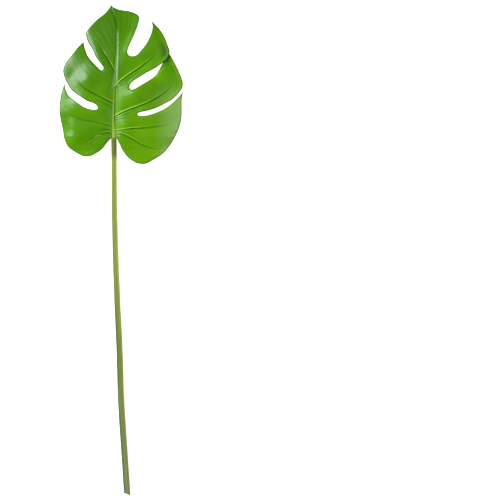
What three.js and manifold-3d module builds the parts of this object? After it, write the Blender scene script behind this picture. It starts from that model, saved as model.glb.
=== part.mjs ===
// A cut leaf of a Swiss cheese plant (Monstera deliciosa): a split heart-shaped blade on its long stalk.
// It lies face up on a table. The blade arches over its midrib, and its lowest lobes and the stalk's cut
// end touch the table. Millimetres. Outlines are drawn from the blade's base, +Y towards the leaf's tip,
// +X to the right, +Z up; the exported group is then moved, so that its origin is the middle of its box,
// on the table.
import * as THREE from "three";
import { mergeGeometries, mergeVertices } from "three/addons/utils/BufferGeometryUtils.js";
import Module from "manifold-3d";

const wasm = await Module();
wasm.setup();

// Driving dimensions.
const LAMINA_THICKNESS = 0.9;
const STALK_LENGTH = 541;
const STALK_TOP_RADIUS = 3.8;
const STALK_END_RADIUS = 4.9;
const STALK_TAPER = 2;
const STALK_CUT_SLOPE = Math.tan(THREE.MathUtils.degToRad(22));
const MIDRIB_TIP_RADIUS = 0.7;
const MIDRIB_TAPER = 1.5;
const MIDRIB_SINK = 0.45; // its centre lies under the lamina's middle by this share of its radius
const MIDRIB_FOOT = 2.7; // how far the midrib runs on below the blade's base
const MIDRIB_SEAM = 0.15; // each half of the lamina ends inside the midrib, this far from its middle
const JOIN_GAP = 0.3; // between the midrib's foot and the stalk
const VEIN_RIB_DEPTH = 1.4; // a side vein under the lamina, where it leaves the midrib

// How the blade lies.
const ARCH_LOW = 7.7;
const ARCH_HIGH = 18.7;
const ARCH_START = -20;
const ARCH_LENGTH = 240;
const BLADE_TIP_Y = 202;
const TIP_DROOP = 5;
const BASE_DROOP = 0.08; // per millimetre below the blade's base
const SIDE_FALL = { left: 5.5, right: 7.5 }; // from the midrib out to the margin
const SIDE_DROOP = { left: 4, right: 2.5 }; // more fall in the lowest lobes
const SIDE_DROOP_FROM = 40;
const SIDE_DROOP_TO = -15;
const SIDE_REACH = { left: 82, right: 98 };
const SIDE_ROUNDNESS = { left: 2.4, right: 2.5 };
const LAMINA_BULGE = 1.8; // from a side vein up to the lobe's edge

// The midrib lies in a valley, which narrows and grows shallow towards the leaf's tip.
const VALLEY_DEPTH = 2.4;
const VALLEY_SHALLOWING = 0.85; // the share of its depth that it loses
const VALLEY_SHALLOWS_FROM = 70;
const VALLEY_SHALLOWS_TO = 160;
const VALLEY_WIDTH = { left: 9, right: 8 };
const VALLEY_TIP_WIDTH = 2.6;
const VALLEY_NARROWS_FROM = 74;
const VALLEY_NARROWS_TO = 92;

// Steps of a lobe's mesh, from midrib to margin, and where its rows lie: -1 upper edge, 0 side vein,
// 1 lower edge.
const STEPS_OUT = 14;
const ROWS = [-1, -0.78, -0.48, -0.14, 0, 0.14, 0.48, 0.78, 1];
const SLIT_SPACING = 1.5; // above 1, steps are shorter near a slit's inner end
const RADIAL_STEPS = 12;
const MIDRIB_STEPS = 24;
const STALK_STEPS = 40;

const curve = (points) =>
  new THREE.CatmullRomCurve3(
    points.map(([x, y, z = 0]) => new THREE.Vector3(x, y, z)),
    false,
    "centripetal",
  );

// The midrib, from the blade's base to the leaf's tip.
const midrib = curve([[0, 0], [0, 33], [1, 60], [2, 86], [3, 104], [4, 122], [5, 139], [5, 157], [4, 171],
  [1, 183], [-2, 193], [-5, 202]]);

// Between two lobes runs a dividing line. Its root goes from the midrib to the slit's inner end, and from
// there the slit has two edges, one for the lobe above it and one for the lobe below. A line with no slit
// is all root.
const tipLine = { root: [[5, 157], [4, 171], [1, 183], [-2, 193], [-5, 202]] };

// Each lobe lies between two dividing lines and has one side vein. curl lifts its outer corners, in
// millimetres; spacing above 1 puts the vein's steps closer together near the midrib.
const right = {
  seam: MIDRIB_SEAM,
  hand: "right",
  lines: [
    tipLine,
    {
      root: [[3, 102], [14, 113], [22.5, 124]],
      above: [[22.5, 124], [21.5, 126], [21, 130], [24, 139], [30, 152], [35, 165], [38, 175], [39, 181]],
      below: [[22.5, 124], [24.3, 122.7], [27, 122], [34, 123], [42, 131], [50, 142], [56, 154], [59, 166],
        [58.5, 172], [57, 177]],
    },
    {
      root: [[1, 58], [12, 67], [24, 74]],
      above: [[24, 74], [25, 78], [30, 84], [39, 90], [50, 97], [63, 104], [73, 111], [80, 117], [84, 123]],
      below: [[24, 74], [27, 71], [32, 72], [42, 78], [53, 85], [64, 93], [70, 103], [74, 111], [76, 120],
        [78, 134]],
    },
    {
      root: [[0, 23], [18, 29], [36, 33]],
      above: [[36, 33], [37.5, 36], [49, 39], [63, 43], [77, 50], [89, 57], [99, 67], [104, 74]],
      below: [[36, 33], [40, 31.5], [54, 33], [68, 38], [80, 44], [91, 53], [100, 62], [106, 70]],
    },
    { root: [[0, 7], [27, 7], [54, 2], [80, 3], [97, 9]] },
    { root: [[0, 1], [4, -2], [8, -9], [13, -20], [22, -32], [34, -40]] },
  ],
  lobes: [
    {
      vein: [[4, 130], [10, 135], [16, 142], [20, 150], [23, 160], [26, 175], [27, 191]],
      spacing: 2.2,
      margin: [[-5, 202], [-1, 198], [8, 194], [22, 192], [31, 189], [37, 185], [39, 181]],
      curl: { upper: 0, lower: 1.5 },
    },
    {
      vein: [[3, 78], [13, 88], [27, 98], [42, 108], [54, 118], [64, 129], [70, 141], [74, 157]],
      margin: [[57, 177], [63, 171], [71, 162], [78, 150], [82, 139], [85, 130], [84, 123]],
      curl: { upper: 2, lower: 3 },
    },
    {
      vein: [[1, 32], [17, 40], [33, 46], [49, 52], [64, 60], [77, 69], [86, 78], [91, 90], [94, 108]],
      margin: [[78, 134], [82, 130], [86, 124], [92, 113], [98, 101], [103, 89], [105, 80], [104, 74]],
      curl: { upper: -4, lower: 1.5 },
    },
    {
      vein: [[0, 10], [13, 12], [27, 14], [45, 15], [63, 17], [80, 20], [91, 24], [103, 32]],
      margin: [[106, 70], [104, 63], [103, 51], [103, 39], [102, 25], [97, 9]],
      curl: { upper: -1, lower: 0 },
    },
    {
      vein: [[0, 4], [10, 6], [20, 3], [33, -4], [45, -11], [57, -15], [72, -16], [87, -8]],
      margin: [[97, 9], [92, -1], [84, -14], [73, -26], [59, -35], [46, -41], [34, -40]],
      curl: { upper: 0, lower: 1 },
    },
  ],
};

const left = {
  seam: -MIDRIB_SEAM,
  hand: "left",
  lines: [
    tipLine,
    {
      root: [[2, 86], [-7, 94], [-16, 101]],
      above: [[-16, 101], [-15, 104.5], [-18, 109], [-26, 120], [-33, 134], [-40, 146], [-43, 157]],
      below: [[-16, 101], [-19, 100.5], [-23, 104], [-31, 112], [-39, 122], [-43, 132], [-45, 139],
        [-46, 145]],
    },
    {
      root: [[0, 35], [-12, 40], [-24, 44]],
      above: [[-24, 44], [-25.5, 47], [-29, 50], [-40, 54], [-52, 62], [-63, 70], [-70, 80], [-74, 88],
        [-76, 94]],
      below: [[-24, 44], [-26, 41.5], [-31, 41], [-43, 44], [-57, 53], [-68, 62], [-73, 72], [-75, 82]],
    },
    { root: [[0, 10], [-15, 13], [-34, 14], [-56, 14], [-70, 17], [-81, 25]] },
    { root: [[0, 1], [-4, -2], [-10, -8], [-17, -17], [-26, -24], [-36, -29]] },
  ],
  lobes: [
    {
      vein: [[3, 100], [-8, 119], [-14, 128], [-20, 139], [-29, 154], [-37, 166]],
      margin: [[-5, 202], [-6, 198], [-9, 194], [-15, 187], [-24, 180], [-33, 171], [-41, 161],
        [-43, 157]],
      curl: { upper: 0, lower: 2 },
    },
    {
      vein: [[0, 53], [-15, 60], [-29, 67], [-43, 75], [-54, 85], [-61, 97], [-71, 115]],
      margin: [[-46, 145], [-55, 136], [-63, 125], [-71, 115], [-75, 108], [-77, 100], [-76, 94]],
      curl: { upper: -1, lower: 1.5 },
    },
    {
      vein: [[0, 18], [-18, 22], [-33, 25], [-48, 28], [-61, 33], [-70, 40], [-82, 55]],
      margin: [[-75, 82], [-78, 72], [-81, 60], [-83, 40], [-81, 25]],
      curl: { upper: -1, lower: 0 },
    },
    {
      vein: [[0, 5], [-6, 8], [-15, 7], [-26, 4], [-36, -1], [-45, -6], [-56, -11], [-68, -16]],
      margin: [[-81, 25], [-78, 10], [-76, -2], [-70, -15], [-59, -23], [-47, -29], [-36, -29]],
      curl: { upper: 0, lower: 0.5 },
    },
  ],
};

// The height of the blade's middle surface at the midrib, for a point that far up the blade.
function archHeight(y) {
  const along = THREE.MathUtils.clamp((y - ARCH_START) / ARCH_LENGTH, 0, 1);
  const arch = ARCH_LOW + (ARCH_HIGH - ARCH_LOW) * Math.sin(Math.PI * along);
  const tip = TIP_DROOP * Math.max(0, y / BLADE_TIP_Y) ** 4;
  const base = BASE_DROOP * Math.max(0, -y);
  return arch - tip - base;
}

const midribSamples = midrib.getPoints(200);

function midribX(y) {
  const after = midribSamples.findIndex((p) => p.y > y);
  if (after < 1) return midribSamples.at(after).x;
  const [a, b] = [midribSamples[after - 1], midribSamples[after]];
  return THREE.MathUtils.mapLinear(y, a.y, b.y, a.x, b.x);
}

const bell = (x, width) => Math.exp(-((x / width) ** 2));
const smooth = (low, high, x) => {
  const share = THREE.MathUtils.clamp((x - low) / (high - low), 0, 1);
  return share * share * (3 - 2 * share);
};

function valleyDepth(y) {
  return VALLEY_DEPTH * (1 - VALLEY_SHALLOWING * smooth(VALLEY_SHALLOWS_FROM, VALLEY_SHALLOWS_TO, y));
}

// How much a lobe's outer corner is lifted. The lift starts at the inner end of the slit beside it, so that
// two lobes stay at one height where they are joined.
function curlHeight(out, row, side, lobe) {
  const index = side.lobes.indexOf(lobe) + (row > 0);
  const line = side.lines[index];
  if (!line.above && index < side.lobes.length) return 0;
  const joined = line.above ? stepsOfRoot(line) / STEPS_OUT : 0;
  const along = Math.max(0, (out - joined) / (1 - joined));
  return (row < 0 ? lobe.curl.upper : lobe.curl.lower) * (along * row) ** 2;
}

// out runs from 0 at the midrib to 1 at the margin, row from -1 at the lobe's upper edge to 1 at its lower
// edge.
function laminaHeight(x, y, out, row, side, lobe) {
  const fromMidrib = Math.abs(x - midribX(y));
  const droop = SIDE_DROOP[side.hand] * smooth(SIDE_DROOP_FROM, SIDE_DROOP_TO, y);
  const mostFall = SIDE_FALL[side.hand] + droop;
  const fall = mostFall * (fromMidrib / SIDE_REACH[side.hand]) ** SIDE_ROUNDNESS[side.hand];
  const narrowing = smooth(VALLEY_NARROWS_TO, VALLEY_NARROWS_FROM, y);
  const valleyWidth = THREE.MathUtils.lerp(VALLEY_TIP_WIDTH, VALLEY_WIDTH[side.hand], narrowing);
  const valley = valleyDepth(y) * bell(fromMidrib, valleyWidth);
  const fullness = (1 - (1 - out) ** 3) * (1 - 0.6 * out ** 2);
  const bulge = LAMINA_BULGE * Math.sin((Math.PI / 2) * Math.abs(row)) ** 1.5 * fullness;
  const curl = curlHeight(out, row, side, lobe);
  return archHeight(y) - fall - valley + bulge + curl;
}

// How many steps the root of a dividing line takes: the same for the lobes on both its sides.
function stepsOfRoot(line) {
  const root = curve(line.root).getLength();
  const slit = (curve(line.above).getLength() + curve(line.below).getLength()) / 2;
  return Math.max(1, Math.round((STEPS_OUT * root) / (root + slit)));
}

// A point of a dividing line, a whole number of steps out from the midrib. Steps are short near a slit's
// inner end.
function linePoint(line, edge, step) {
  const root = curve(line.root);
  if (!line[edge]) return root.getPointAt(step / STEPS_OUT);
  const rootSteps = stepsOfRoot(line);
  if (step <= rootSteps) return root.getPointAt(step / rootSteps);
  return curve(line[edge]).getPointAt(((step - rootSteps) / (STEPS_OUT - rootSteps)) ** SLIT_SPACING);
}

// The share of a lobe's margin that lies above the end of its side vein.
function marginShare(margin, veinEnd) {
  const samples = margin.getSpacedPoints(100);
  const distances = samples.map((p) => p.distanceTo(veinEnd));
  return distances.indexOf(Math.min(...distances)) / 100;
}

// One lobe as a grid: columns run from the midrib to the margin, rows from its upper edge over its vein to
// its lower edge. It is lofted between those three, and drawn out to the margin's own curve and in to the
// midrib's.
function lobeSheet(side, index) {
  const lobe = side.lobes[index];
  const vein = curve(lobe.vein);
  const margin = curve(lobe.margin);
  const share = marginShare(margin, vein.getPoint(1));
  const sheet = new THREE.PlaneGeometry(1, 1, STEPS_OUT, ROWS.length - 1);
  const position = sheet.attributes.position;
  const uv = sheet.attributes.uv;
  const ribDepth = new Float32Array(position.count);
  const between = (step, row) => {
    const edge = row < 0
      ? linePoint(side.lines[index], "below", step)
      : linePoint(side.lines[index + 1], "above", step);
    return vein.getPointAt((step / STEPS_OUT) ** (lobe.spacing ?? 1)).lerp(edge, Math.abs(row));
  };
  for (let k = 0; k < position.count; k++) {
    const out = uv.getX(k);
    const row = ROWS[Math.round((1 - uv.getY(k)) * (ROWS.length - 1))];
    const onMargin = margin.getPointAt(row < 0 ? (1 + row) * share : share + row * (1 - share));
    const atMidrib = between(0, row);
    const point = between(Math.round(out * STEPS_OUT), row);
    point.add(onMargin.sub(between(STEPS_OUT, row)).multiplyScalar(out ** 3));
    point.x += (midribX(atMidrib.y) - atMidrib.x) * (1 - out) ** 2;
    if (out === 0 || (index === 0 && row === -1)) point.x += side.seam;
    position.setXYZ(k, point.x, point.y, laminaHeight(point.x, point.y, out, row, side, lobe));
    ribDepth[k] = row === 0 ? VEIN_RIB_DEPTH * (1 - out) : 0;
  }
  sheet.setAttribute("ribDepth", new THREE.BufferAttribute(ribDepth, 1));
  sheet.deleteAttribute("normal");
  sheet.deleteAttribute("uv");
  return sheet;
}

// Gives a sheet its thickness: a top, an underside with the side veins' ribs, and a wall along every open
// edge.
function thicken(sheet, facesUp) {
  const count = sheet.attributes.position.count;
  const corners = Array.from(sheet.index.array);
  if (!facesUp) corners.reverse();
  const positions = [];
  for (const half of [0.5, -0.5]) {
    for (let k = 0; k < count; k++) {
      const rib = half < 0 ? sheet.attributes.ribDepth.getX(k) : 0;
      const z = sheet.attributes.position.getZ(k) + half * LAMINA_THICKNESS - rib;
      positions.push(sheet.attributes.position.getX(k), sheet.attributes.position.getY(k), z);
    }
  }
  const faces = [];
  const edges = new Map();
  for (let k = 0; k < corners.length; k += 3) {
    const [a, b, c] = corners.slice(k, k + 3);
    if (a === b || b === c || c === a) continue;
    faces.push(a, b, c, count + c, count + b, count + a);
    for (const [from, to] of [[a, b], [b, c], [c, a]]) edges.set(`${from} ${to}`, [from, to]);
  }
  for (const [from, to] of edges.values()) {
    if (edges.has(`${to} ${from}`)) continue;
    faces.push(from, count + from, to, to, count + from, count + to);
  }
  const solid = new THREE.BufferGeometry();
  solid.setAttribute("position", new THREE.Float32BufferAttribute(positions, 3));
  return solid.setIndex(faces);
}

// One half of the lamina, with all its lobes joined along their dividing lines.
function halfLamina(side, facesUp) {
  const sheets = side.lobes.map((_, index) => lobeSheet(side, index));
  return thicken(mergeVertices(mergeGeometries(sheets), 1e-3), facesUp);
}

// A round rod whose sections stand square to Y. place(share) gives each section's centre and radius, and
// cutSlope turns the near end's face.
function rod(steps, place, cutSlope = 0) {
  const geometry = new THREE.CylinderGeometry(1, 1, 1, RADIAL_STEPS, steps);
  const position = geometry.attributes.position;
  for (let k = 0; k < position.count; k++) {
    const share = position.getY(k) + 0.5;
    const { centre, radius } = place(share);
    const x = position.getX(k) * radius;
    const slant = share < 1e-6 ? -cutSlope * x : 0;
    position.setXYZ(k, centre.x + x, centre.y + slant, centre.z + position.getZ(k) * radius);
  }
  return geometry;
}

// The midrib stands proud on both faces, and swells towards the blade's base.
function midribRod() {
  return rod(MIDRIB_STEPS, (share) => {
    const centre = midrib.getPointAt(Math.max(0, share));
    const radius = THREE.MathUtils.lerp(MIDRIB_TIP_RADIUS, STALK_TOP_RADIUS, (1 - share) ** MIDRIB_TAPER);
    if (share < 1e-6) centre.y -= MIDRIB_FOOT;
    centre.z = midribCentreHeight(Math.max(0, centre.y), radius);
    return { centre, radius };
  });
}

const midribCentreHeight = (y, radius) => archHeight(y) - valleyDepth(y) - MIDRIB_SINK * radius;

// The leaf stalk, from its slanting cut end to just below the blade, in a slow bend with a low arch.
function stalkGeometry() {
  const top = midribCentreHeight(0, STALK_TOP_RADIUS);
  const centreLine = curve([
    [20, -MIDRIB_FOOT - STALK_LENGTH, STALK_END_RADIUS],
    [16, -482, 5],
    [11, -405, 5.4],
    [8.5, -328, 5.6],
    [5, -251, 5.6],
    [2.5, -182, 5.6],
    [0.5, -98, 5.8],
    [0.2, -40, 6.1],
    [0, -MIDRIB_FOOT - JOIN_GAP, top],
  ]);
  return rod(STALK_STEPS, (share) => ({
    centre: centreLine.getPointAt(share),
    radius: THREE.MathUtils.lerp(STALK_END_RADIUS, STALK_TOP_RADIUS, share ** STALK_TAPER),
  }), STALK_CUT_SLOPE);
}

function solidOf(geometry) {
  const bare = geometry.clone();
  bare.deleteAttribute("normal");
  bare.deleteAttribute("uv");
  const merged = mergeVertices(bare, 1e-4);
  return new wasm.Manifold(
    new wasm.Mesh({
      numProp: 3,
      vertProperties: merged.attributes.position.array,
      triVerts: new Uint32Array(merged.index.array),
    }),
  );
}

function geometryOf(solid) {
  const { vertProperties, triVerts } = solid.getMesh();
  const geometry = new THREE.BufferGeometry();
  geometry.setAttribute("position", new THREE.BufferAttribute(vertProperties, 3));
  geometry.setIndex(new THREE.BufferAttribute(triVerts, 1));
  geometry.computeVertexNormals();
  return geometry;
}

// The two halves of the lamina grow out of the midrib as one piece with it.
function bladeGeometry() {
  const lamina = solidOf(halfLamina(left, false)).add(solidOf(halfLamina(right, true)));
  return geometryOf(lamina.add(solidOf(midribRod())));
}

const leafGreen = new THREE.MeshStandardMaterial({ color: 0x55960f, roughness: 0.4, metalness: 0 });
const stalkGreen = new THREE.MeshStandardMaterial({ color: 0x83993a, roughness: 0.5, metalness: 0 });

const blade = new THREE.Mesh(bladeGeometry(), leafGreen);
blade.name = "leaf_blade";
const stalk = new THREE.Mesh(stalkGeometry(), stalkGreen);
stalk.name = "leaf_stalk";

const leaf = new THREE.Group();
leaf.add(blade, stalk);
const box = new THREE.Box3().setFromObject(leaf, true);
const middle = box.getCenter(new THREE.Vector3());
leaf.position.set(-middle.x, -middle.y, -box.min.z);

export default leaf;
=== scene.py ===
"""A cut leaf of a Swiss cheese plant lying face up: leaf stalk, midrib, side veins and split blade."""

import bisect
import math

import bmesh
import bpy
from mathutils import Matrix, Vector, kdtree, noise


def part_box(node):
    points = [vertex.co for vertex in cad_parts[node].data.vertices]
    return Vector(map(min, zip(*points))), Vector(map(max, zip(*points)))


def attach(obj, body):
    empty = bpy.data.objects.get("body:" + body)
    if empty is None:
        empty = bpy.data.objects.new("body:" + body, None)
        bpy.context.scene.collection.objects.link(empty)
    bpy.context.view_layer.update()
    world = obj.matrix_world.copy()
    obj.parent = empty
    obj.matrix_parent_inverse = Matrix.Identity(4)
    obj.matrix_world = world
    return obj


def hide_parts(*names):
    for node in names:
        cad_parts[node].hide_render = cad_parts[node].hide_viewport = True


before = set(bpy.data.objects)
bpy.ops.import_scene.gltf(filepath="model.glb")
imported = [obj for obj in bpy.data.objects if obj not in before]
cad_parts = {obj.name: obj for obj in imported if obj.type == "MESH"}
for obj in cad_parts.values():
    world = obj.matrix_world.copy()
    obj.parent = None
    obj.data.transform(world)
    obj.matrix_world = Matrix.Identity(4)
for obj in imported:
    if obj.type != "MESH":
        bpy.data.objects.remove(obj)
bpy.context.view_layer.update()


# --- Leaf stalk -------------------------------------------------------------------------------------------
# The petiole: a firm, juicy green rod, a little channelled on top, streaked with fibres along its length.
# It ends in a slanting cut, and its top 33 mm is the darker, finely wrinkled knee that carries the blade.

MM = 0.001
BLADE_TIP_Y = 202
BLADE_LEFT_X = -83
blade_low, blade_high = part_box("leaf_blade")
blade_base = Vector((blade_low.x - BLADE_LEFT_X * MM, blade_high.y - BLADE_TIP_Y * MM, 0))

# Millimetres from the blade's base. The narrowing, the swelling, the unevenness and the depths of the
# channel, ribs and neck are shares of the stalk's radius.
STALK_TOP_RADIUS = 3.8
STALK_END_RADIUS = 4.9
STALK_TAPER = 2
STALK_TOP_HEIGHT = 6.44
STALK_CUT_SLOPE = math.tan(math.radians(22))
STALK_CUT_SHARE = 0.012
STALK_PROUD = 1.015
STALK_NARROWING = 0.13
STALK_UNEVENNESS = 0.035
CHANNEL_DEPTH = 0.07
CHANNEL_WIDTH = 0.09
RIBS = 9
RIB_DEPTH = 0.012
KNEE_LENGTH = 33
KNEE_SWELLING = 0.05
NECK_DEPTH = 0.03
CUT_RIM = 0.55
CUT_SLOPING_RIM = 0.4
CUT_HOLLOW = 0.25
STALK_LINE = [
    (20, -543.7, 5.25), (16, -482, 5.3), (11, -405, 5.5), (8.5, -328, 5.6), (5, -251, 5.6),
    (2.5, -182, 5.6), (0.5, -98, 5.8), (0.2, -40, 6.1), (0, -3, STALK_TOP_HEIGHT),
    (0, 1, STALK_TOP_HEIGHT + 0.1),
]  # fmt: skip


def placed(point):
    """A point drawn in millimetres from the blade's base, in the object's own frame."""
    return blade_base + point * MM


class Line:
    """A smooth line through points, followed by its length: at(0) is its start and at(1) its end."""

    def __init__(self, points):
        knots = [Vector(p).to_3d() for p in points]
        knots = [2 * knots[0] - knots[1], *knots, 2 * knots[-1] - knots[-2]]
        self.points = [knots[1]]
        for four in zip(knots, knots[1:], knots[2:], knots[3:]):
            self.points += [self.between(*four, k / 16) for k in range(1, 17)]
        self.reach = [0]
        for p, q in zip(self.points, self.points[1:]):
            self.reach.append(self.reach[-1] + (q - p).length)
        self.length = self.reach[-1]

    @staticmethod
    def between(a, b, c, d, share):
        """A centripetal Catmull-Rom curve's point between b and c."""
        ab, bc, cd = (math.sqrt((q - p).length) for p, q in ((a, b), (b, c), (c, d)))
        leave = bc * ((b - a) / ab - (c - a) / (ab + bc) + (c - b) / bc)
        arrive = bc * ((c - b) / bc - (d - b) / (bc + cd) + (d - c) / cd)
        bend = 3 * (c - b) - 2 * leave - arrive
        twist = 2 * (b - c) + leave + arrive
        return b + leave * share + bend * share**2 + twist * share**3

    def at(self, share):
        reach = min(max(share, 0), 1) * self.length
        k = min(max(bisect.bisect(self.reach, reach), 1), len(self.points) - 1)
        step = self.reach[k] - self.reach[k - 1]
        return self.points[k - 1].lerp(self.points[k], (reach - self.reach[k - 1]) / step)

    def along(self, share):
        return (self.at(share + 0.01) - self.at(share - 0.01)).normalized()


def bell(distance, width):
    return math.exp(-((distance / width) ** 2))


def smooth(low, high, x):
    x = min(max((x - low) / (high - low), 0), 1)
    return x * x * (3 - 2 * x)


def new_piece(name, bm, materials, node):
    """Turns a finished bmesh into a piece that rides on the leaf and stands for one of its solids."""
    mesh = bpy.data.meshes.new(name)
    bm.to_mesh(mesh)
    bm.free()
    mesh.shade_smooth()
    for material in materials:
        mesh.materials.append(material)
    piece = bpy.data.objects.new(name, mesh)
    bpy.context.scene.collection.objects.link(piece)
    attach(piece, "root")
    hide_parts(node)
    return piece


def add_rod(bm, around, along, skin):
    """Rolls a grid up into a closed rod. skin(turn, share) gives the place of each point of its skin: turn
    runs once round, from its underside, and share from its start to its end. The UV map holds both."""
    rod = bmesh.ops.create_grid(bm, x_segments=around, y_segments=along, size=0.5)["verts"]
    uv = bm.loops.layers.uv.get("UVMap") or bm.loops.layers.uv.new("UVMap")
    for face in {face for vert in rod for face in vert.link_faces}:
        for loop in face.loops:
            loop[uv].uv = (loop.vert.co.x + 0.5, loop.vert.co.y + 0.5)
    for vert in rod:
        vert.co = placed(skin(vert.co.x + 0.5, vert.co.y + 0.5))
    bmesh.ops.remove_doubles(bm, verts=rod, dist=1e-6)
    rod = [vert for vert in rod if vert.is_valid]
    edges = {edge for vert in rod for edge in vert.link_edges if edge.is_boundary}
    ends = bmesh.ops.holes_fill(bm, edges=list(edges), sides=around)["faces"]
    faces = {face for vert in rod for face in vert.link_faces}
    bmesh.ops.recalc_face_normals(bm, faces=list(faces))
    return sorted(ends, key=lambda face: face.calc_center_median().y)


class Finish:
    """A procedural material. Each call adds a node and gives back its output."""

    def __init__(self, name, **sockets):
        self.material = bpy.data.materials.new(name)
        self.material.use_nodes = True
        self.tree = self.material.node_tree
        self.shader = self.tree.nodes["Principled BSDF"]
        for socket, value in sockets.items():
            self.set(self.shader, socket.replace("_", " "), value)

    def set(self, node, socket, value):
        if isinstance(value, bpy.types.NodeSocket):
            self.tree.links.new(value, node.inputs[socket])
        else:
            node.inputs[socket].default_value = value

    def add(self, kind, output, settings=(), **sockets):
        node = self.tree.nodes.new("ShaderNode" + kind)
        for name, value in dict(settings).items():
            setattr(node, name, value)
        for socket, value in sockets.items():
            self.set(node, socket.replace("_", " "), value)
        return node.outputs[output]

    def math(self, operation, a, b=0.0, c=0.0):
        node = self.tree.nodes.new("ShaderNodeMath")
        node.operation = operation
        for k, value in enumerate((a, b, c)):
            self.set(node, k, value)
        return node.outputs[0]

    def fade(self, value, low, high):
        """0 where value is at low or beyond it, 1 where it is at high, and smooth between."""
        settings = {"interpolation_type": "SMOOTHSTEP"}
        return self.add("MapRange", 0, settings, Value=value, From_Min=low, From_Max=high)

    def mix(self, share, a, b):
        node = self.tree.nodes.new("ShaderNodeMix")
        node.data_type = "RGBA"
        for socket, value in ((0, share), (6, a), (7, b)):
            self.set(node, socket, value)
        return node.outputs[2]

    def times(self, a, b):
        return self.math("MULTIPLY", a, b)

    def over(self, tone, shade, where, strength):
        """The tone with a shade laid over it, as far as where says."""
        return self.mix(self.times(where, strength), tone, shade)

    def place(self):
        return self.add("TexCoord", "Object")

    def from_base(self):
        """How far right of the blade's base, and how far up the blade, a point lies, in millimetres."""
        x = self.add("SeparateXYZ", 0, Vector=self.place())
        y = x.node.outputs[1]
        x = self.math("MULTIPLY_ADD", x, 1 / MM, -blade_base.x / MM)
        return x, self.math("MULTIPLY_ADD", y, 1 / MM, -blade_base.y / MM)

    def uv(self):
        """The two parts of the piece's own UV map."""
        first = self.add("SeparateXYZ", 0, Vector=self.add("UVMap", 0, {"uv_map": "UVMap"}))
        return first, first.node.outputs[1]

    def attribute(self, name):
        return self.add("Attribute", "Fac", {"attribute_name": name})

    def grain(self, scale, detail=3.0, stretch=(1, 1, 1)):
        """Noise from 0 to 1 on the object's own coordinates, in features per metre."""
        where = self.add("Mapping", 0, Vector=self.place(), Scale=stretch)
        return self.add("TexNoise", 0, Vector=where, Scale=scale, Detail=detail)

    def finish(self, colour, roughness, height=None, depth=0.0):
        self.set(self.shader, "Base Color", colour)
        self.set(self.shader, "Roughness", roughness)
        if height is not None:
            bump = self.add("Bump", 0, Height=height, Distance=depth, Strength=1.0)
            self.set(self.shader, "Normal", bump)
        return self.material


def colour(red, green, blue):
    """A display colour, each part from 0 to 255, as the shader's linear colour."""
    parts = (part / 255 for part in (red, green, blue))
    linear = [p / 12.92 if p <= 0.04045 else ((p + 0.055) / 1.055) ** 2.4 for p in parts]
    return (*linear, 1)


stalk_line = Line(STALK_LINE)


def stalk_skin(turn, share):
    """The stalk has a slight neck below its swollen knee, and narrows again where the midrib takes over."""
    centre = stalk_line.at(share)
    radius = STALK_END_RADIUS + (STALK_TOP_RADIUS - STALK_END_RADIUS) * share**STALK_TAPER
    knee = smooth(-KNEE_LENGTH - 4, -KNEE_LENGTH + 6, centre.y) * smooth(1, -5, centre.y)
    neck = bell(centre.y + KNEE_LENGTH + 3, 4)
    radius *= STALK_PROUD + KNEE_SWELLING * knee - NECK_DEPTH * neck
    radius *= 1 - STALK_NARROWING * smooth(-3, 1, centre.y)
    angle = math.tau * turn
    across = Vector((-math.sin(angle), 0, -math.cos(angle)))
    channel = CHANNEL_DEPTH * bell(turn - 0.5, CHANNEL_WIDTH)
    unevenness = noise.noise(Vector((across.x * 1.3, centre.y / 22, across.z * 1.3)))
    ribs = RIB_DEPTH * math.sin(RIBS * angle + 2 * unevenness)
    out = across * radius * (1 - channel + ribs + STALK_UNEVENNESS * unevenness)
    cut = -STALK_CUT_SLOPE * out.x * smooth(STALK_CUT_SHARE, 0, share)
    return centre + out + Vector((0, cut, 0))


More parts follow.
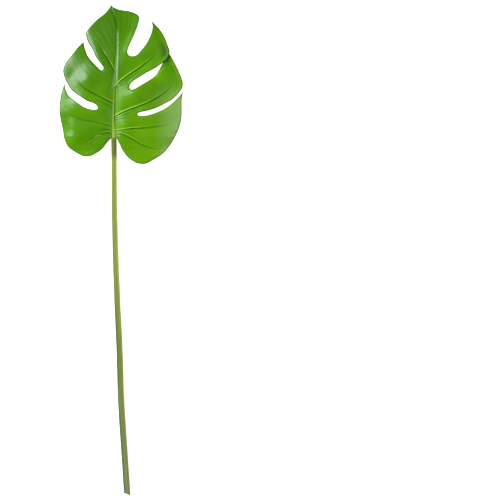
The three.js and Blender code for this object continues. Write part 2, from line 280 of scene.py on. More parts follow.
def stalk_material():
    """Yellow-green at the top, cooler and greyer at the foot, with fine fibres, a few faint specks and an
    olive knee. Painted shade darkens its left side and painted light pales its right side, on the knee too."""
    finish = Finish("stalk_skin", Specular_IOR_Level=0.15)
    turn, along = finish.uv()
    tone = finish.mix(finish.fade(along, 0.0, 0.4), colour(118, 136, 88), colour(112, 134, 44))
    tone = finish.mix(finish.fade(along, 0.4, 0.7), tone, colour(134, 146, 50))
    # painted shade: the left side is darkened as if in shadow
    left = finish.times(finish.fade(turn, 0.49, 0.38), finish.fade(along, 1.1, 0.5))
    tone = finish.over(tone, colour(62, 78, 52), left, 0.9)
    # painted light: the right side is paled as if lit
    right = finish.times(finish.fade(turn, 0.53, 0.63), finish.fade(along, -0.4, 0.6))
    painted_light = finish.mix(finish.fade(along, 0.4, 0.7), colour(174, 186, 92), colour(208, 218, 124))
    tone = finish.over(tone, painted_light, right, 0.9)
    fibres = finish.grain(700, 4, (1, 0.02, 1))
    tone = finish.over(tone, colour(98, 122, 38), finish.fade(fibres, 0.52, 0.7), 0.45)
    pale = finish.grain(430, 3, (1, 0.012, 1))
    tone = finish.over(tone, colour(180, 194, 84), finish.fade(pale, 0.55, 0.72), 0.35)
    specks = finish.fade(finish.grain(900, 2, (1, 0.5, 1)), 0.7, 0.78)
    tone = finish.over(tone, colour(84, 92, 38), specks, 0.35)
    from_top = finish.math("MULTIPLY_ADD", along, -stalk_line.length, stalk_line.length)
    knee = finish.fade(from_top, KNEE_LENGTH + 7, KNEE_LENGTH - 9)
    knee = finish.times(knee, finish.fade(from_top, 0.5, 4.5))
    olive = finish.mix(finish.grain(260, 4, (1, 0.3, 1)), colour(76, 98, 20), colour(118, 126, 44))
    # painted shade on the knee's left side and painted light on its right side
    olive = finish.over(olive, colour(66, 84, 24), finish.fade(turn, 0.5, 0.36), 0.6)
    olive = finish.over(olive, colour(142, 152, 74), finish.fade(turn, 0.53, 0.63), 0.42)
    tone = finish.mix(knee, tone, olive)
    wrinkles = finish.times(finish.grain(1400, 3, (0.25, 1, 0.25)), knee)
    height = finish.math("MULTIPLY_ADD", fibres, 0.6, wrinkles)
    roughness = finish.math("MULTIPLY_ADD", fibres, 0.16, 0.42)
    return finish.finish(tone, roughness, height, 0.00035)


def cut_material():
    """The wet, pale flesh of the cut, dotted with the ends of its strings."""
    finish = Finish("stalk_cut")
    dots = finish.add("TexVoronoi", 0, Vector=finish.place(), Scale=1300)
    flesh = finish.mix(finish.grain(500), colour(186, 194, 128), colour(160, 172, 98))
    tone = finish.mix(finish.fade(dots, 0.28, 0.16), flesh, colour(128, 128, 66))
    return finish.finish(tone, 0.45, dots, 0.0002)


stalk = bmesh.new()
foot, _ = add_rod(stalk, 56, 260, stalk_skin)
bmesh.ops.inset_region(stalk, faces=[foot], thickness=CUT_RIM * MM, depth=0)
bmesh.ops.inset_region(stalk, faces=[foot], thickness=CUT_SLOPING_RIM * MM, depth=-CUT_HOLLOW * MM)
foot.material_index = 1
new_piece("stalk_of_leaf", stalk, [stalk_material(), cut_material()], "leaf_stalk")


# --- Midrib -----------------------------------------------------------------------------------------------
# The stalk runs on up the middle of the blade as its midrib. It stands proud on both faces, yellow-green
# and as thick as the stalk at the blade's base, and thins to a thread at the leaf's tip.

MIDRIB_BASE_RADIUS = 3.0
MIDRIB_TIP_RADIUS = 0.35
MIDRIB_TAPER = 1.25
MIDRIB_SINK = 0.45
MIDRIB_UNEVENNESS = 0.04
MIDRIB_LINE = [
    (0, -6), (0, 0), (0, 33), (1, 60), (2, 86), (3, 104), (4, 122), (5, 139), (5, 157), (4, 171),
    (1, 183), (-2, 193), (-5, 201.5),
]  # fmt: skip
ARCH_LOW = 7.7
ARCH_HIGH = 18.7
ARCH_START = -20
ARCH_LENGTH = 240
TIP_DROOP = 5
BASE_DROOP = 0.08
VALLEY_DEPTH = 2.4
VALLEY_SHALLOWING = 0.8
VALLEY_SHALLOWS_FROM = 55
VALLEY_SHALLOWS_TO = 120
VALLEY_TIP_SHALLOWING = 0.6
VALLEY_TIP_FROM = 130
VALLEY_TIP_TO = 175
VALLEY_NARROWS_FROM = 66
VALLEY_NARROWS_TO = 84

midrib_line = Line(MIDRIB_LINE)
midrib_heights = [p.y for p in midrib_line.points]


def arch_height(y):
    """How high the middle of the blade arches above the table, that far up the blade."""
    along = min(max((y - ARCH_START) / ARCH_LENGTH, 0), 1)
    arch = ARCH_LOW + (ARCH_HIGH - ARCH_LOW) * math.sin(math.pi * along)
    return arch - TIP_DROOP * max(0, y / BLADE_TIP_Y) ** 4 - BASE_DROOP * max(0, -y)


def midrib_x(y):
    k = min(max(bisect.bisect(midrib_heights, y), 1), len(midrib_heights) - 1)
    a, b = midrib_line.points[k - 1], midrib_line.points[k]
    return a.x + (b.x - a.x) * (y - a.y) / (b.y - a.y)


def valley_depth(y):
    """How deep the valley is that the midrib lies in; it grows shallow towards the tip."""
    left = 1 - VALLEY_SHALLOWING * smooth(VALLEY_SHALLOWS_FROM, VALLEY_SHALLOWS_TO, y)
    return VALLEY_DEPTH * left * (1 - VALLEY_TIP_SHALLOWING * smooth(VALLEY_TIP_FROM, VALLEY_TIP_TO, y))


def midrib_radius(y):
    left = min(max(1 - y / BLADE_TIP_Y, 0), 1)
    foot = (STALK_TOP_RADIUS - MIDRIB_BASE_RADIUS) * smooth(14, -4, y)
    return MIDRIB_TIP_RADIUS + (MIDRIB_BASE_RADIUS - MIDRIB_TIP_RADIUS) * left**MIDRIB_TAPER + foot


def midrib_skin(turn, share):
    """The midrib's centre lies a little below the blade, so that it shows on both faces."""
    centre = midrib_line.at(share)
    radius = midrib_radius(centre.y)
    centre.z = arch_height(centre.y) - valley_depth(centre.y) - MIDRIB_SINK * radius
    angle = math.tau * turn
    across = Vector((-math.sin(angle), 0, -math.cos(angle)))
    unevenness = noise.noise(Vector((across.x * 1.5, centre.y / 14, across.z * 1.5)))
    return centre + across * radius * (1 + MIDRIB_UNEVENNESS * unevenness)


def midrib_material():
    """Yellow-green and streaked at the base, greener towards the tip, paler below, with painted shade at
    its sides and a painted light stripe on its right near the base.
    """
    finish = Finish("midrib_skin", Specular_IOR_Level=0.2)
    turn, along = finish.uv()
    tone = finish.mix(finish.fade(along, 0.03, 0.28), colour(146, 174, 54), colour(106, 156, 24))
    tone = finish.mix(finish.fade(along, 0.3, 0.6), tone, colour(78, 140, 4))
    fibres = finish.grain(800, 3, (1, 0.04, 1))
    tone = finish.over(tone, colour(104, 138, 30), finish.fade(fibres, 0.5, 0.7), 0.45)
    blush = finish.times(finish.fade(finish.grain(160, 3), 0.55, 0.75), finish.fade(along, 0.3, 0.0))
    tone = finish.over(tone, colour(138, 132, 56), blush, 0.5)
    # painted shade: the right side above the base, and the left edge, are darkened as if in shadow
    shaded = finish.times(finish.fade(turn, 0.49, 0.58), finish.fade(along, 0.02, 0.16))
    shaded = finish.math("MAXIMUM", shaded, finish.times(finish.fade(turn, 0.5, 0.34), 0.55))
    tone = finish.over(tone, colour(48, 98, 4), shaded, 0.8)
    from_ridge = finish.math("ABSOLUTE", finish.math("SUBTRACT", turn, 0.5))
    tone = finish.over(tone, colour(150, 180, 88), finish.fade(from_ridge, 0.25, 0.33), 0.8)
    # painted light: a pale stripe on the right side near the base, as if lit
    light = finish.times(finish.fade(turn, 0.51, 0.6), finish.fade(along, 0.18, 0.05))
    tone = finish.over(tone, colour(196, 212, 138), light, 0.6)
    return finish.finish(tone, 0.38, fibres, 0.0002)


midrib = bmesh.new()
add_rod(midrib, 32, 150, midrib_skin)
new_piece("midrib", midrib, [midrib_material()], "leaf_blade")


# --- Blade ------------------------------------------------------------------------------------------------
# The lamina: leathery and glossy, split between its side veins from the margin inwards. Nine lobes, each
# with one side vein, are grown from the midrib and joined along the roots of the lines between them.

# Outlines are millimetres from the blade's base. A line between two lobes has a root, where they are
# joined. Where it opens into a slit it has two edges, one for the lobe above it and one for the lobe below.
# curl lifts a lobe's upper and lower outer corners. crease says how clear the crease beside its vein is and
# how far out it runs. thickness is the vein's radius at the midrib, and spacing above 1 puts the steps of a
# lobe closer together there. fall, droop, reach and roundness say how a half hangs down towards its margin,
# and valley how wide the midrib's valley is near the tip and near the base.
TIP_LINE = {"root": [(5, 157), (4, 171), (1, 183), (-2, 193), (-5, 202)]}
RIGHT_HALF = {
    "side": 1,
    "reach": 98,
    "fall": 7.5,
    "droop": 2.5,
    "roundness": 2.5,
    "valley": (1.5, 8),
    "lines": [
        TIP_LINE,
        {
            "root": [(3, 102), (14, 113), (22.5, 124)],
            "above": [
                (22.5, 124), (21.5, 126), (21, 130), (24, 139), (30, 152), (35, 165), (38, 175), (39, 181),
            ],
            "below": [
                (22.5, 124), (24.3, 122.7), (27, 122), (34, 123), (42, 131), (50, 142), (56, 154),
                (59, 166), (58.5, 172), (57, 177),
            ],
        },
        {
            "root": [(1, 58), (12, 67), (24, 74)],
            "above": [
                (24, 74), (25, 78), (30, 84), (39, 90), (50, 97), (63, 104), (73, 111), (80, 117),
                (84, 123),
            ],
            "below": [
                (24, 74), (27, 71), (32, 72), (42, 78), (53, 85), (64, 93), (70, 103), (74, 111), (76, 120),
                (78, 134),
            ],
        },
        {
            "root": [(0, 23), (18, 29), (36, 33)],
            "above": [(36, 33), (37.5, 36), (49, 39), (63, 43), (77, 50), (89, 57), (99, 67), (104, 74)],
            "below": [(36, 33), (40, 31.5), (54, 33), (68, 38), (80, 44), (91, 53), (100, 62), (106, 70)],
        },
        {"root": [(0, 7), (27, 7), (54, 2), (80, 3), (97, 9)]},
        {"root": [(0, 1), (4, -2), (8, -9), (13, -20), (22, -32), (34, -40)]},
    ],
    "lobes": [
        {
            "vein": [(4, 130), (10, 135), (16, 142), (20, 150), (23, 160), (26, 175), (27, 191)],
            "spacing": 2.2,
            "margin": [(-5, 202), (-1, 198), (8, 194), (22, 192), (31, 189), (37, 185), (39, 181)],
            "curl": (0, 1.5),
            "thickness": 0.4,
            "crease": (0.05, 0.5),
        },
        {
            "vein": [(3, 78), (13, 88), (27, 98), (42, 108), (54, 118), (64, 129), (70, 141), (74, 157)],
            "margin": [(57, 177), (63, 171), (71, 162), (78, 150), (82, 139), (85, 130), (84, 123)],
            "curl": (2, 3),
            "thickness": 1.3,
            "crease": (1, 0.95),
        },
        {
            "vein": [
                (1, 32), (17, 40), (33, 46), (49, 52), (64, 60), (77, 69), (86, 78), (91, 90), (94, 108),
            ],
            "margin": [
                (78, 134), (82, 130), (86, 124), (92, 113), (98, 101), (103, 89), (105, 80), (104, 74),
            ],
            "curl": (-4, 1.5),
            "thickness": 1.4,
            "crease": (1, 0.95),
        },
        {
            "vein": [(0, 10), (13, 12), (27, 14), (45, 15), (63, 17), (80, 20), (91, 24), (103, 32)],
            "margin": [(106, 70), (104, 63), (103, 51), (103, 39), (102, 25), (97, 9)],
            "curl": (-1, 0),
            "thickness": 1.1,
            "crease": (0.9, 0.9),
        },
        {
            "vein": [(0, 4), (10, 6), (20, 3), (33, -4), (45, -11), (57, -15), (72, -16), (87, -8)],
            "margin": [(97, 9), (92, -1), (84, -14), (73, -26), (59, -35), (46, -41), (34, -40)],
            "curl": (0, 1),
            "thickness": 1.0,
            "crease": (0.9, 0.9),
        },
    ],
}
LEFT_HALF = {
    "side": -1,
    "reach": 82,
    "fall": 5.5,
    "droop": 4,
    "roundness": 2.4,
    "valley": (2.2, 9),
    "lines": [
        TIP_LINE,
        {
            "root": [(2, 86), (-7, 94), (-16, 101)],
            "above": [(-16, 101), (-15, 104.5), (-18, 109), (-26, 120), (-33, 134), (-40, 146), (-43, 157)],
            "below": [
                (-16, 101), (-19, 100.5), (-23, 104), (-31, 112), (-39, 122), (-43, 132), (-45, 139),
                (-46, 145),
            ],
        },
        {
            "root": [(0, 35), (-12, 40), (-24, 44)],
            "above": [
                (-24, 44), (-25.5, 47), (-29, 50), (-40, 54), (-52, 62), (-63, 70), (-70, 80), (-74, 88),
                (-76, 94),
            ],
            "below": [
                (-24, 44), (-26, 41.5), (-31, 41), (-43, 44), (-57, 53), (-68, 62), (-73, 72), (-75, 82),
            ],
        },
        {"root": [(0, 10), (-15, 13), (-34, 14), (-56, 14), (-70, 17), (-81, 25)]},
        {"root": [(0, 1), (-4, -2), (-10, -8), (-17, -17), (-26, -24), (-36, -29)]},
    ],
    "lobes": [
        {
            "vein": [(3, 100), (-8, 119), (-14, 128), (-20, 139), (-29, 154), (-37, 166)],
            "margin": [
                (-5, 202), (-6, 198), (-9, 194), (-15, 187), (-24, 180), (-33, 171), (-41, 161), (-43, 157),
            ],
            "curl": (0, -2.5),
            "thickness": 0.6,
            "crease": (0.8, 0.8),
        },
        {
            "vein": [(0, 53), (-15, 60), (-29, 67), (-43, 75), (-54, 85), (-61, 97), (-71, 115)],
            "margin": [(-46, 145), (-55, 136), (-63, 125), (-71, 115), (-75, 108), (-77, 100), (-76, 94)],
            "curl": (-4.5, 0.5),
            "thickness": 1.0,
            "crease": (1, 0.85),
        },
        {
            "vein": [(0, 18), (-18, 22), (-33, 25), (-48, 28), (-61, 33), (-70, 40), (-82, 55)],
            "margin": [(-75, 82), (-78, 72), (-81, 60), (-83, 40), (-81, 25)],
            "curl": (-1, 0),
            "thickness": 0.9,
            "crease": (0.7, 0.9),
        },
        {
            "vein": [(0, 5), (-6, 8), (-15, 7), (-26, 4), (-36, -1), (-45, -6), (-56, -11), (-68, -16)],
            "margin": [(-81, 25), (-78, 10), (-76, -2), (-70, -15), (-59, -23), (-47, -29), (-36, -29)],
            "curl": (0, 0.5),
            "thickness": 1.0,
            "crease": (0.9, 0.75),
        },
    ],
}
STEPS_OUT = 58
ROWS = 60
SLIT_SPACING = 1.5
LEFT_UV_ROWS = 30
SEAM = 0.15
LAMINA_THICKNESS = 0.5
LAMINA_BULGE = 1.4
LARGE_WAVE = 0.6
SMALL_WAVE = 0.07
QUILTING = 0.05
QUILTS = 4.5
CREASE_DEPTH = 1.2
CREASE_WIDTH = 1.2
FINE_CREASE_DEPTH = 0.25
FINE_CREASE_WIDTH = 0.9
MIDRIB_GROOVE = 0.6
GROOVE_SHALLOWING = 0.8
GROOVE_SHALLOWS_FROM = 70
GROOVE_SHALLOWS_TO = 130
SIDE_DROOP_FROM = 40
SIDE_DROOP_TO = -15
MARGIN_ROLL = 0.5
MARGIN_ROLL_WIDTH = 1.5
VEIN_SHADE_PLACE = 2
FAR = 100.0

# Each swelling of the blade: its place, its radius and its height.
SWELLS = [
    (34, 62, 17, 3.8), (58, 62, 18, 1.8), (20, 17, 10, 1.6), (62, -8, 26, 1.0), (70, 138, 14, 1.2),
    (-39, 86, 13, 2.0), (-80, 84, 20, -1.7), (-58, 118, 11, 0.7), (-59, 98, 6, -0.4), (-66, 90, 6, -0.5),
    (-50, 56, 10, 1.2), (-80, 54, 14, -0.7), (-63, 40, 8, 0.6), (-68, 58, 5, -0.4), (-88, 10, 17, -1.8),
    (-66, -8, 18, 4.4), (-60, 20, 10, 0.8), (-24, 150, 16, 0.4),
]  # fmt: skip
FINE_CREASES = {
    1: [
        [(4, 76), (15, 82), (27, 90), (38, 98)],
        [(3, 73), (13, 77), (22, 81)],
        [(3, 28), (13, 31), (24, 36), (33, 40)],
        [(3, 25), (12, 27), (20, 29)],
    ],
    -1: [[(-3, 44), (-13, 50), (-24, 55)], [(-3, 8), (-12, 11), (-22, 11)]],
}


def joined_share(half, index):
    """How far out two neighbouring lobes are joined: up to the inner end of the slit between them."""
    line = half["lines"][index]
    if "above" in line:
        slit_length = (Line(line["above"]).length + Line(line["below"]).length) / 2
        root_length = Line(line["root"]).length
        return max(1, round(STEPS_OUT * root_length / (root_length + slit_length))) / STEPS_OUT
    return 1 if index < len(half["lobes"]) else 0


def lamina_height(x, y, out, row, half, lobe, joined, from_vein=FAR, from_edge=FAR, from_crease=FAR):
    """The height of the blade's middle surface, in millimetres above the table. out runs from 0 at the
    midrib to 1 at the margin, row from -1 to 1 across the lobe, 0 at its vein. joined holds how far out the
    lobe is joined to its upper and its lower neighbour. Only the right side has a groove by the midrib."""
    from_midrib = abs(x - midrib_x(y))
    fall = half["fall"] + half["droop"] * smooth(SIDE_DROOP_FROM, SIDE_DROOP_TO, y)
    fall *= (from_midrib / half["reach"]) ** half["roundness"]
    narrow, wide = half["valley"]
    valley_width = narrow + (wide - narrow) * smooth(VALLEY_NARROWS_TO, VALLEY_NARROWS_FROM, y)
    valley = valley_depth(y) * bell(from_midrib, valley_width)
    fullness = (1 - (1 - out) ** 3) * (1 - 0.6 * out**2)
    bulge = LAMINA_BULGE * math.sin(math.pi / 2 * abs(row)) ** 1.5 * fullness
    free = max(0, out - joined[row > 0]) / max(1 - joined[row > 0], 0.01)
    curl = lobe["curl"][row > 0] * (free * row) ** 2
    wave = LARGE_WAVE * noise.noise(Vector((x / 30, y / 30, 3.7))) * smooth(8, 50, from_midrib)
    wave += SMALL_WAVE * noise.noise(Vector((x / 9, y / 9, 1.3))) * smooth(3, 12, from_midrib)
    quilting = math.cos(math.tau * QUILTS * (row + 0.05 * noise.noise(Vector((x / 20, y / 20, 8.1)))))
    wave += QUILTING * quilting * smooth(0.05, 0.3, out) * (1 - out**4)
    for swell_x, swell_y, radius, height in SWELLS:
        if (x > 0) == (swell_x > 0):
            wave += height * bell(math.hypot(x - swell_x, y - swell_y), radius) * smooth(0, 8, from_midrib)
    clear, ends = lobe["crease"]
    crease = CREASE_DEPTH * clear * (1 - smooth(ends - 0.6, ends - 0.15, out))
    crease *= bell(from_vein - 0.9 * lobe["thickness"], CREASE_WIDTH)
    crease += FINE_CREASE_DEPTH * bell(from_crease, FINE_CREASE_WIDTH)
    groove = 1 - GROOVE_SHALLOWING * smooth(GROOVE_SHALLOWS_FROM, GROOVE_SHALLOWS_TO, y)
    groove *= MIDRIB_GROOVE * (x > midrib_x(y))
    crease += groove * bell(from_midrib - 0.8 * midrib_radius(y) - 0.8, 1.0)
    roll = MARGIN_ROLL * math.exp(-from_edge / MARGIN_ROLL_WIDTH)
    return arch_height(y) - fall - valley + bulge + curl + wave - crease - roll


def line_points(line, edge, joined):
    """A dividing line's points, one for each step out. They lie closer together at a slit's inner end."""
    root = Line(line["root"])
    if edge not in line:
        return [root.at(k / STEPS_OUT) for k in range(STEPS_OUT + 1)]
    in_root = round(joined * STEPS_OUT)
    in_slit = STEPS_OUT - in_root
    slit = Line(line[edge])
    inner = [root.at(k / in_root) for k in range(in_root)]
    return inner + [slit.at((k / in_slit) ** SLIT_SPACING) for k in range(in_slit + 1)]


def marked(points):
    """A search tree of points, for distances to a line."""
    tree = kdtree.KDTree(len(points))
    for k, point in enumerate(points):
        tree.insert(point, k)
    tree.balance()
    return tree


def outline(half, index):
    """A search tree of the lobe's own free edge: its margin and its edges of the slits beside it."""
    edges = [half["lobes"][index]["margin"]]
    for line, edge in ((half["lines"][index], "below"), (half["lines"][index + 1], "above")):
        if edge in line:
            edges.append(line[edge])
    if index == len(half["lobes"]) - 1:
        edges.append(half["lines"][-1]["root"])
    return marked([edge.at(k / 200) for edge in map(Line, edges) for k in range(201)])


fine_creases = {
    side: marked([Line(line).at(k / 100) for line in lines for k in range(101)])
    for side, lines in FINE_CREASES.items()
}


def add_lobe(bm, half, index):
    """One lobe as a grid, lofted between its upper edge, its vein and its lower edge, and drawn out to the
    margin and in to the midrib."""
    lobe = half["lobes"][index]
    joined = (joined_share(half, index), joined_share(half, index + 1))
    upper = line_points(half["lines"][index], "below", joined[0])
    lower = line_points(half["lines"][index + 1], "above", joined[1])
    vein = Line(lobe["vein"])
    spacing = lobe.get("spacing", 1)
    veins = [vein.at((k / STEPS_OUT) ** spacing) for k in range(STEPS_OUT + 1)]
    vein_tree = marked([vein.at(k / 400) for k in range(401)])
    edge_tree = outline(half, index)
    clear, ends = lobe["crease"]
    margin = Line(lobe["margin"])
    share = marked([margin.at(k / 200) for k in range(201)]).find(vein.at(1))[1] / 200

    def between(step, row):
        return veins[step].lerp((upper if row < 0 else lower)[step], abs(row))

    grid = bmesh.ops.create_grid(bm, x_segments=STEPS_OUT, y_segments=ROWS, size=1)["verts"]
    uv = bm.loops.layers.uv.get("UVMap") or bm.loops.layers.uv.new("UVMap")
    from_edge = bm.verts.layers.float["from_edge"]
    from_crease = bm.verts.layers.float["from_crease"]
    vein_shade = bm.verts.layers.float["vein_shade"]
    faces = {face for vert in grid for face in vert.link_faces}
    rows = {}
    for vert in grid:
        across = -vert.co.y
        rows[vert] = ((vert.co.x + 1) / 2, 0.35 * across + 0.65 * across**3)
    for face in faces:
        for loop in face.loops:
            out, row = rows[loop.vert]
            loop[uv].uv = (out, 2 * index + row + (LEFT_UV_ROWS if half["side"] < 0 else 0))
    for vert, (out, row) in rows.items():
        on_margin = margin.at((1 + row) * share if row < 0 else share + row * (1 - share))
        at_midrib = between(0, row)
        point = between(round(out * STEPS_OUT), row)
        point += (on_margin - between(STEPS_OUT, row)) * out**3
        point.x += (midrib_x(at_midrib.y) - at_midrib.x) * (1 - out) ** 2
        if out == 0 or (index == 0 and row == -1):
            point.x += SEAM * half["side"]
        flat = Vector((point.x, point.y, 0))
        vert[from_edge] = edge_tree.find(flat)[2]
        below_vein = math.copysign(vein_tree.find(flat)[2], row)
        shade = clear * (1 - smooth(ends - 0.4, ends, out))
        vert[vein_shade] = shade * smooth(1.7, 0.5, abs(below_vein - VEIN_SHADE_PLACE))
        vert[from_crease] = fine_creases[half["side"]].find(flat)[2]
        distances = (below_vein, vert[from_edge], vert[from_crease])
        height = lamina_height(point.x, point.y, out, row, half, lobe, joined, *distances)
        point.z = height + LAMINA_THICKNESS / 2
        vert.co = placed(point)
    if half["side"] < 0:
        bmesh.ops.reverse_faces(bm, faces=list(faces))


def vein_pattern(finish):
    """How strongly the fine veins show between the side veins. They leave the midrib and run out with
    them."""
    _, across = finish.uv()
    bend = finish.math("MULTIPLY_ADD", finish.grain(22, 2), 0.16, across)
    main = finish.fade(finish.math("PINGPONG", finish.times(bend, 4.0), 0.5), 0.09, 0.0)
    fine = finish.fade(finish.math("PINGPONG", finish.times(bend, 12.0), 0.5), 0.16, 0.0)
    return finish.math("MAXIMUM", main, finish.times(fine, 0.35))


def upper_material():
    """Deep glossy green, yellower at the right margin, darker at the tip and in the upper left part, with a
    thin dark edge. Painted light makes it lighter and yellower low down towards the right, and a painted
    sheen pales the outer right side low down; painted shade darkens a folded corner on the upper right, the
    lower side of each side vein and the fine creases. Seen at a slant, its shine is softer."""
    finish = Finish("blade_upper_face")
    x, y = finish.from_base()
    mottling = finish.grain(26, 4)
    tone = finish.mix(finish.fade(mottling, 0.3, 0.7), colour(72, 132, 0), colour(86, 150, 0))
    # painted light: lighter and yellower low down towards the right
    low = finish.times(finish.fade(y, 108, -22), finish.fade(x, -38.5, 101.5))
    tone = finish.over(tone, colour(112, 172, 2), low, 0.8)
    tone = finish.over(tone, colour(58, 114, 0), finish.fade(y, 118, 198), 0.75)
    # painted shade: the folded-down lower outer corner of the upper right lobe, darkened as if turned from
    # the light
    corner_shade = finish.times(finish.fade(x, 65.5, 81.5), finish.fade(y, 112, 125))
    corner_shade = finish.times(corner_shade, finish.fade(y, 158, 133))
    tone = finish.over(tone, colour(40, 84, 38), corner_shade, 0.95)
    # painted sheen: a pale, whitish patch on the outer right side low down, standing for a reflection
    painted_sheen = finish.times(finish.fade(x, 56.5, 101.5), finish.fade(y, 88, 48))
    tone = finish.over(tone, colour(158, 192, 122), painted_sheen, 0.5)
    upper_left = finish.times(finish.fade(y, 38, 98), finish.fade(x, 26.5, -3.5))
    tone = finish.over(tone, colour(44, 92, 0), upper_left, 0.5)
    veins = vein_pattern(finish)
    tone = finish.over(tone, colour(116, 176, 8), veins, 0.22)
    tone = finish.over(tone, colour(34, 84, 0), finish.attribute("vein_shade"), 0.75)
    # painted shade: darker along the fine creases, as if in their shadow
    fine_crease_shade = finish.fade(finish.attribute("from_crease"), 1.4, 0.2)
    tone = finish.over(tone, colour(40, 92, 0), fine_crease_shade, 0.6)
    cells = finish.add("TexVoronoi", 0, {"feature": "DISTANCE_TO_EDGE"}, Vector=finish.place(), Scale=900)
    tone = finish.over(tone, colour(120, 175, 50), finish.fade(cells, 0.12, 0.0), 0.1)
    from_edge = finish.attribute("from_edge")
    tone = finish.over(tone, colour(48, 86, 8), finish.fade(from_edge, 2.2, 0.7), 0.75)
    right_margin = finish.times(finish.fade(from_edge, 7, 2.4), finish.fade(x, 51.5, 86.5))
    right_margin = finish.times(right_margin, finish.fade(from_edge, 0.9, 2.2))
    tone = finish.over(tone, colour(132, 190, 6), right_margin, 0.4)
    height = finish.math("MULTIPLY_ADD", veins, -0.12, finish.times(mottling, 0.8))
    height = finish.math("MULTIPLY_ADD", finish.fade(cells, 0.0, 0.3), 0.05, height)
    roughness = finish.math("MULTIPLY_ADD", mottling, 0.08, 0.16)
    roughness = finish.math("MULTIPLY_ADD", finish.fade(from_edge, 1.9, 0.9), 0.5, roughness)
    grazing = finish.fade(finish.add("LayerWeight", 1, Blend=0.5), 0.1, 0.42)
    roughness = finish.math("MULTIPLY_ADD", grazing, 0.26, roughness)
    gloss = finish.math("MULTIPLY_ADD", grazing, -0.32, 0.38)
    finish.set(finish.shader, "Specular IOR Level", gloss)
    return finish.finish(tone, roughness, height, 0.0003)


def under_material():
    """The underside: paler and nearly matt, its fine veins standing out."""
    finish = Finish("blade_underside")
    mottling = finish.grain(40, 4)
    tone = finish.mix(mottling, colour(112, 152, 60), colour(128, 168, 72))
    veins = vein_pattern(finish)
    tone = finish.over(tone, colour(158, 188, 96), veins, 0.4)
    roughness = finish.math("MULTIPLY_ADD", mottling, 0.1, 0.55)
    return finish.finish(tone, roughness, veins, 0.0003)


blade = bmesh.new()
for layer in ("from_edge", "from_crease", "vein_shade"):
    blade.verts.layers.float.new(layer)
for half in (RIGHT_HALF, LEFT_HALF):
    for index in range(len(half["lobes"])):
        add_lobe(blade, half, index)
bmesh.ops.remove_doubles(blade, verts=blade.verts, dist=2e-6)
lamina = new_piece("blade", blade, [upper_material(), under_material()], "leaf_blade")
thickness = lamina.modifiers.new("thickness", "SOLIDIFY")
thickness.thickness = LAMINA_THICKNESS * MM
thickness.offset = -1
thickness.material_offset = 1
thickness.material_offset_rim = 0


# --- Side veins -------------------------------------------------------------------------------------------
# Each lobe's own vein leaves the midrib and runs out towards the margin. It is a thin firm cord grown into
# the lamina: a bright fine ridge above, and a stouter keel below.

VEIN_END_RADIUS = 0.3
VEIN_TAPER = 1.1
VEIN_REACH = 0.93
VEIN_PROUD = {1: 0.5, -1: 0.15}
VEIN_SINK = 0.9
VEIN_ROOT_LENGTH = 2


def add_side_vein(bm, half, lobe):
    """The vein starts inside the midrib. It stands proud above as far as its crease is clear, and sinks
    into the blade after that."""
    start, second = (Vector(point) for point in lobe["vein"][:2])
    line = Line([start + (start - second).normalized() * VEIN_ROOT_LENGTH, *lobe["vein"]])
    index = half["lobes"].index(lobe)
    joined = (joined_share(half, index), joined_share(half, index + 1))

    def skin(turn, share):
        share *= VEIN_REACH
        centre = line.at(share)
        radius = VEIN_END_RADIUS + (lobe["thickness"] - VEIN_END_RADIUS) * (1 - share) ** VEIN_TAPER
        out = share ** (1 / lobe.get("spacing", 1))
        centre.z = lamina_height(centre.x, centre.y, out, 0, half, lobe, joined)
        clear, ends = lobe["crease"]
        sunk = 1 - clear * (1 - smooth(ends - 0.5, ends, share))
        proud = VEIN_PROUD[half["side"]] - VEIN_SINK * sunk
        centre.z += LAMINA_THICKNESS / 2 + radius * (proud - 1)
        along = line.along(share)
        angle = math.tau * turn
        across = Vector((along.y, -along.x, 0)).normalized()
        return centre - across * radius * math.sin(angle) - Vector((0, 0, radius * math.cos(angle)))

    add_rod(bm, 16, 90, skin)


def vein_material():
    """Bright yellow-green on the right half, quieter on the left, green at the outer ends, pale below."""
    finish = Finish("side_vein_skin", Specular_IOR_Level=0.15)
    turn, along = finish.uv()
    x, _ = finish.from_base()
    bright = finish.mix(finish.fade(along, 0.2, 0.7), colour(142, 200, 44), colour(104, 172, 16))
    quiet = finish.mix(finish.fade(along, 0.05, 0.35), colour(124, 184, 44), colour(88, 154, 8))
    tone = finish.mix(finish.fade(x, -18.5, 6.5), quiet, bright)
    tone = finish.mix(finish.fade(along, 0.6, 0.9), tone, colour(80, 142, 0))
    from_ridge = finish.math("ABSOLUTE", finish.math("SUBTRACT", turn, 0.5))
    tone = finish.over(tone, colour(148, 182, 84), finish.fade(from_ridge, 0.22, 0.3), 0.8)
    return finish.finish(tone, 0.38, finish.grain(900), 0.0001)


veins = bmesh.new()
for half in (RIGHT_HALF, LEFT_HALF):
    for lobe in half["lobes"]:
        add_side_vein(veins, half, lobe)
new_piece("side_veins", veins, [vein_material()], "leaf_blade")


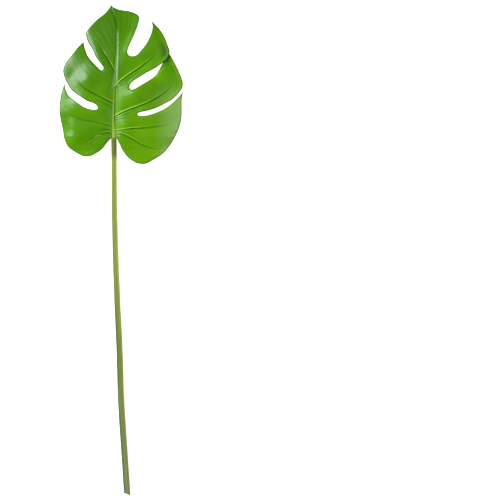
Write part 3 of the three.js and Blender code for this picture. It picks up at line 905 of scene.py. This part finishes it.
# --- Studio -----------------------------------------------------------------------------------------------
# A pale table, two soft lights to the upper left of the leaf, a weaker one to its right, and a camera with
# a long lens straight above.

TABLE_HALF_WIDTH = 6
TABLE_GLOW = 0.85
ROOM_GLOW = 0.05
SOFTBOXES = [
    {"name": "left_softbox", "place": (-2.0, 1.0, 3.0), "size": 1.7, "power": 92},
    {"name": "low_softbox", "place": (-3.0, 1.7, 1.9), "size": 1.0, "power": 145},
    {"name": "right_softbox", "place": (2.4, -0.4, 2.8), "size": 1.6, "power": 36},
]
CAMERA_PLACE = (0.1957, -0.0003, 3.18)
CAMERA_LENS = 150
CAMERA_SENSOR = 36


def table_material():
    finish = Finish("table_top", Emission_Color=(1, 1, 1, 1), Emission_Strength=TABLE_GLOW)
    return finish.finish(colour(240, 240, 240), 0.9)


table = bmesh.new()
bmesh.ops.create_grid(table, x_segments=1, y_segments=1, size=TABLE_HALF_WIDTH)
table_mesh = bpy.data.meshes.new("table")
table.to_mesh(table_mesh)
table.free()
table_mesh.materials.append(table_material())
floor = bpy.data.objects.new("table", table_mesh)
bpy.context.scene.collection.objects.link(floor)

for softbox in SOFTBOXES:
    lamp = bpy.data.lights.new(softbox["name"], "AREA")
    lamp.shape = "SQUARE"
    lamp.size = softbox["size"]
    lamp.energy = softbox["power"]
    light = bpy.data.objects.new(softbox["name"], lamp)
    light.location = softbox["place"]
    light.rotation_mode = "QUATERNION"
    light.rotation_quaternion = (-Vector(softbox["place"])).to_track_quat("-Z", "Y")
    bpy.context.scene.collection.objects.link(light)

room = bpy.data.worlds.new("studio")
room.use_nodes = True
room.node_tree.nodes["Background"].inputs["Color"].default_value = (1, 1, 1, 1)
room.node_tree.nodes["Background"].inputs["Strength"].default_value = ROOM_GLOW
bpy.context.scene.world = room
bpy.context.scene.view_settings.view_transform = "Standard"

lens = bpy.data.cameras.new("camera")
lens.lens = CAMERA_LENS
lens.sensor_width = CAMERA_SENSOR
camera = bpy.data.objects.new("camera", lens)
camera.location = CAMERA_PLACE
bpy.context.scene.collection.objects.link(camera)
bpy.context.scene.camera = camera
